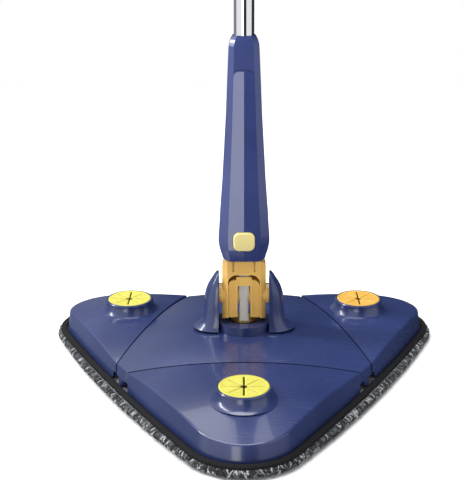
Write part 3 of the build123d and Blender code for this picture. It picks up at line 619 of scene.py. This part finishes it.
def add_tube(part, path, radius, sides, material_index):
    """A closed tube along a few points, added to a bmesh."""
    rows = []
    for i, point in enumerate(path):
        ahead = (path[min(i + 1, len(path) - 1)] - path[max(i - 1, 0)]).normalized()
        side = ahead.orthogonal().normalized()
        up = ahead.cross(side)
        size = radius * (0.55 if i in (0, len(path) - 1) else 1.0)
        row = []
        for k in range(sides):
            turn = math.tau * k / sides
            row.append(part.verts.new(point + (side * math.cos(turn) + up * math.sin(turn)) * size))
        rows.append(row)
    made = []
    for low, high in zip(rows, rows[1:]):
        for k in range(sides):
            made.append(part.faces.new((low[k], low[(k + 1) % sides], high[(k + 1) % sides], high[k])))
    made.append(part.faces.new(list(reversed(rows[0]))))
    made.append(part.faces.new(rows[-1]))
    for face in made:
        face.material_index = material_index
        face.smooth = True


for layer in (0, 1):
    for index, (spot, along, out) in enumerate(walk(lambda t: pad_reach(t, 0.0), LOOP_PITCH)):
        lean = (LOOP_LEAN if (index + layer) % 2 else -LOOP_LEAN) * draw.uniform(0.4, 1.2)
        shift = along * draw.uniform(-0.0007, 0.0007)
        fat = draw.uniform(0.00055, 0.00085)
        swell = draw.uniform(0.0000, 0.0008) - 0.0006 * layer
        path = []
        for k in range(LOOP_STEPS + 1):
            turn = math.pi * k / LOOP_STEPS
            drop = (0.0058 - 0.0048 * k / LOOP_STEPS) if layer == 0 else (0.0070 - 0.0042 * k / LOOP_STEPS)
            inset = 0.0034 - 0.0036 * math.sin(turn) - swell
            slant = along * (lean * (k / LOOP_STEPS - 0.5))
            path.append(spot + shift - out * inset + slant + Vector((0.0, 0.0, drop)))
        add_tube(pad_parts[leaf_of(spot)], path, fat, LOOP_SIDES, draw.choices((1, 2, 3), (20, 28, 52))[0])

# A row of stitches runs in the groove of the underside.
STITCH_PITCH = 0.0043
STITCH_LONG = 0.0034
STITCH_FAT = 0.00028
STITCH_STEPS = 4
for spot, along, out in walk(lambda t: pad_reach(t, GROOVE_AT), STITCH_PITCH):
    path = []
    for k in range(STITCH_STEPS + 1):
        drop = 0.0020 - 0.0012 * math.sin(math.pi * k / STITCH_STEPS)
        path.append(spot + along * (STITCH_LONG * (k / STITCH_STEPS - 0.5)) + Vector((0.0, 0.0, drop)))
    add_tube(pad_parts[leaf_of(spot)], path, STITCH_FAT, LOOP_SIDES, 1)

YARNS = (pile(), yarn("yarn_white", (0.48, 0.49, 0.51)), yarn("yarn_grey", (0.11, 0.12, 0.13)),
         yarn("yarn_black", (0.010, 0.011, 0.013)))
for leaf, part in pad_parts.items():
    node = f"pad_{leaf or 'centre'}"
    piece = settle(part, leaf, f"microfibre_{leaf or 'centre'}", "pad_microfibre", *YARNS)
    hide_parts(node)


# ---- Elastic binding -------------------------------------------------------------------------------------
# A black elastic band is sewn round the top of the pad and grips the foot of the covers. It is gathered into
# fine ribs as it shrinks back, and its knitted face is matt.
BAND_OFF = 0.0034
BAND_WIDE = 0.0031
BAND_HIGH = 0.0017
BAND_MIDDLE = 0.0078
RIB_PITCH = 0.0016
BAND_STEPS = 4
BAND_SIDES = 14


def knitted():
    """Matt black knitted elastic with a little pale lint in it, and painted shade in the pits of the knit."""
    material, shader, wire = new_material("black_elastic")
    place = wire.node("ShaderNodeTexCoord", output="Object")
    knit = place.node("ShaderNodeTexVoronoi", None, {"Vector": place, "Scale": 1900.0, "Randomness": 0.5})
    fluff = place.node("ShaderNodeTexNoise", None, {"Vector": place, "Scale": 900.0, "Detail": 3.0})
    lint = fluff.ramp(0.6, 0.75)
    bump = place.node("ShaderNodeBump", None, {"Strength": 0.5, "Distance": 0.0003, "Height": knit})
    # Painted shade: darker in the pits of the knit, where its relief is low; the pale lint is the band's own.
    feed(shader, Base_Color=(knit * 0.7 + lint * 0.4).tint((0.003, 0.003, 0.0035), (0.020, 0.020, 0.023)),
         Roughness=0.8, Normal=bump)
    shader.inputs["Specular IOR Level"].default_value = 0.15
    shader.inputs["Sheen Weight"].default_value = 0.03
    return material


band_line = walk(lambda t: reach(t, COVER_TIP + BAND_OFF, COVER_MID + BAND_OFF, COVER_CORNER + BAND_OFF),
                 RIB_PITCH / BAND_STEPS)
band_count = len(band_line)
section = []
for k in range(BAND_SIDES):
    turn = math.tau * k / BAND_SIDES
    section.append((BAND_WIDE * math.copysign(abs(math.cos(turn)) ** 0.7, math.cos(turn)),
                    BAND_HIGH * math.copysign(abs(math.sin(turn)) ** 0.8, math.sin(turn))))
band_points = []
for index, (spot, along, out) in enumerate(band_line):
    rib = 0.5 + 0.5 * math.cos(math.tau * index / BAND_STEPS)
    swell = 0.84 + 0.16 * rib
    waver = 0.0003 * noise.noise(spot * 90.0)
    for x, z in section:
        band_points.append(spot + out * (x * swell + waver) + Vector((0.0, 0.0, BAND_MIDDLE + z * swell)))
band_faces = []
for index in range(band_count):
    nxt = (index + 1) % band_count
    for k in range(BAND_SIDES):
        k2 = (k + 1) % BAND_SIDES
        here, there = index * BAND_SIDES, nxt * BAND_SIDES
        band_faces.append((here + k, there + k, there + k2, here + k2))
elastic = knitted()
for leaf, part in divided(band_points, band_faces).items():
    if part.verts:
        settle(part, leaf, f"elastic_{leaf or 'centre'}", "pad_microfibre", elastic)
    else:
        part.free()


# ---- Hook patches and pull straps ------------------------------------------------------------------------
# Black hook tape is glued under the plates and holds the pad. The pull straps are flat, pale woven webbing:
# a star under the middle, a tail on each leaf, a rise from just above the bush, and runs over the rollers.
def webbing(name, colour, slant):
    """Plain-woven tape: two crossed sets of threads in relief, with painted shade in the hollows and random
    darker patches from a soil noise.
    """
    material, shader, wire = new_material(name)
    place = wire.node("ShaderNodeTexCoord", output="Object")
    turned = place.node("ShaderNodeMapping", None, {"Vector": place, "Rotation": slant})
    waves = []
    for axis in ("X", "Y", "Z"):
        waves.append(turned.node("ShaderNodeTexWave", {"bands_direction": axis, "wave_profile": "SIN"},
                                 {"Vector": turned, "Scale": 330.0, "Distortion": 0.6, "Detail": 1.0}))
    weave = (waves[0] + waves[1] + waves[2]) / 3.0
    soil = place.node("ShaderNodeTexNoise", None, {"Vector": place, "Scale": 160.0, "Detail": 3.0})
    dark = tuple(0.45 * c for c in colour)
    bump = place.node("ShaderNodeBump", None, {"Strength": 0.7, "Distance": 0.0003, "Height": weave})
    # Painted shade: the colour darkens where the weave's relief is low, in the hollows between threads; the
    # soil noise adds random darker patches.
    feed(shader, Base_Color=(weave.ramp(0.2, 0.6) * (0.7 + soil * 0.5)).tint(dark, colour), Roughness=0.85,
         Normal=bump)
    shader.inputs["Sheen Weight"].default_value = 0.2
    return material


def hook_tape():
    """A mat of tiny stiff hooks in close rows, with painted shade between the hooks."""
    material, shader, wire = new_material("hook_tape")
    place = wire.node("ShaderNodeTexCoord", output="Object")
    hooks = place.node("ShaderNodeTexVoronoi", None, {"Vector": place, "Scale": 1300.0, "Randomness": 0.25})
    bump = place.node("ShaderNodeBump", None, {"Strength": 0.8, "Distance": 0.0005, "Height": 1.0 - hooks})
    # Painted shade: darker away from the hook heads, where the relief sinks between them.
    feed(shader, Base_Color=hooks.ramp(0.1, 0.6).tint((0.050, 0.050, 0.055), (0.006, 0.006, 0.007)),
         Roughness=0.6, Normal=bump)
    return material


pale_webbing = webbing("pale_webbing", (0.70, 0.68, 0.62), (0.0, 0.0, math.radians(45)))
paint(hook_tape(), "hook_patch_centre", *[f"hook_patch_{leaf}" for leaf in LEAVES])
paint(pale_webbing, "pull_strap_star", "strap_front_run", "strap_back_run",
      *[f"pull_strap_{leaf}" for leaf in LEAVES])

RISE_ROWS = 28
RISE_PAST_PIN = 0.0030
low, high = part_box("strap_rise")
rise_section = [(-1.0, 0.0), (-0.92, 0.8), (-0.5, 1.0), (0.0, 1.0), (0.5, 1.0), (0.92, 0.8),
                (1.0, 0.0), (0.92, -0.8), (0.5, -1.0), (0.0, -1.0), (-0.5, -1.0), (-0.92, -0.8)]
strap_y = (low.y + high.y) / 2
rise_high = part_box("tilt_pin")[0].z + RISE_PAST_PIN
rise_rings = [[(x * high.x, strap_y + y * (high.y - low.y) / 2, low.z + (rise_high - low.z) * i / RISE_ROWS)
               for x, y in rise_section] for i in range(RISE_ROWS + 1)]
rise_points, rise_faces = ring_surface(rise_rings)
rise = piece_from("strap_bend", rise_points, rise_faces, pale_webbing)
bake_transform(rise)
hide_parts("strap_rise")


# ---- Yoke and guide bush ---------------------------------------------------------------------------------
# The yoke turns in the middle of the head and carries the fork between two horn-shaped ears. It is the same
# glossy navy plastic as the covers. A gold-coloured bush in its middle guides the strap.
def gilt():
    """Gold-coloured metal, burnished where the strap rubs and dull elsewhere."""
    material, shader, wire = new_material("gold_bush")
    place = wire.node("ShaderNodeTexCoord", output="Object")
    rub = place.node("ShaderNodeTexNoise", None, {"Vector": place, "Scale": 210.0, "Detail": 4.0})
    bump = place.node("ShaderNodeBump", None, {"Strength": 0.05, "Distance": 0.0002, "Height": rub})
    feed(shader, Base_Color=rub.ramp(0.35, 0.7).tint((0.46, 0.32, 0.09), (0.78, 0.60, 0.24)), Metallic=1.0,
         Roughness=0.22 + rub * 0.2, Normal=bump)
    return material


paint(navy, "yoke")
paint(gilt(), "guide_bush")


# ---- Fork, rollers and button ----------------------------------------------------------------------------
# The fork, its strap guide and its rollers are moulded in glossy orange-yellow plastic, and the release
# button in a paler yellow, so that the working parts stand out from the navy covers.
orange = moulded("orange_plastic", (0.84, 0.50, 0.12), 0.2, 0.05, 0.5)
pale_yellow = moulded("pale_yellow_plastic", (0.88, 0.74, 0.30), 0.18, 0.04, 0.4)
paint(orange, "fork", "roller_saddle", "strap_roller", "top_roller")
paint(pale_yellow, "release_button")


# ---- Sleeve ----------------------------------------------------------------------------------------------
# The grip that slides down the fork is two navy half shells screwed together from behind, with a domed cap
# round the tube. A raised panel runs down its front to the button.
sleeve_navy = moulded("sleeve_plastic", (0.034, 0.050, 0.170), 0.13, 0.03, 0.7)
paint(sleeve_navy, "sleeve_front", "sleeve_back", "sleeve_cap")


# ---- Pole ------------------------------------------------------------------------------------------------
# Three polished steel tubes screw together at two blue plastic collars, and a blue grip is pushed on the top
# one. The collars and the grip are semi-gloss mouldings with a fine satin skin.
tube_steel = steel("polished_tube", (0.80, 0.81, 0.83), 0.06, 4.0)
collar_blue = moulded("collar_plastic", (0.075, 0.102, 0.330), 0.26, 0.08, 0.6)
grip_blue = moulded("grip_plastic", (0.120, 0.165, 0.410), 0.34, 0.12, 0.8)
paint(tube_steel, "pole_tube_lower", "pole_tube_middle", "pole_tube_upper")
paint(collar_blue, "joint_collar_middle", "joint_collar_upper")
paint(grip_blue, "hand_grip")
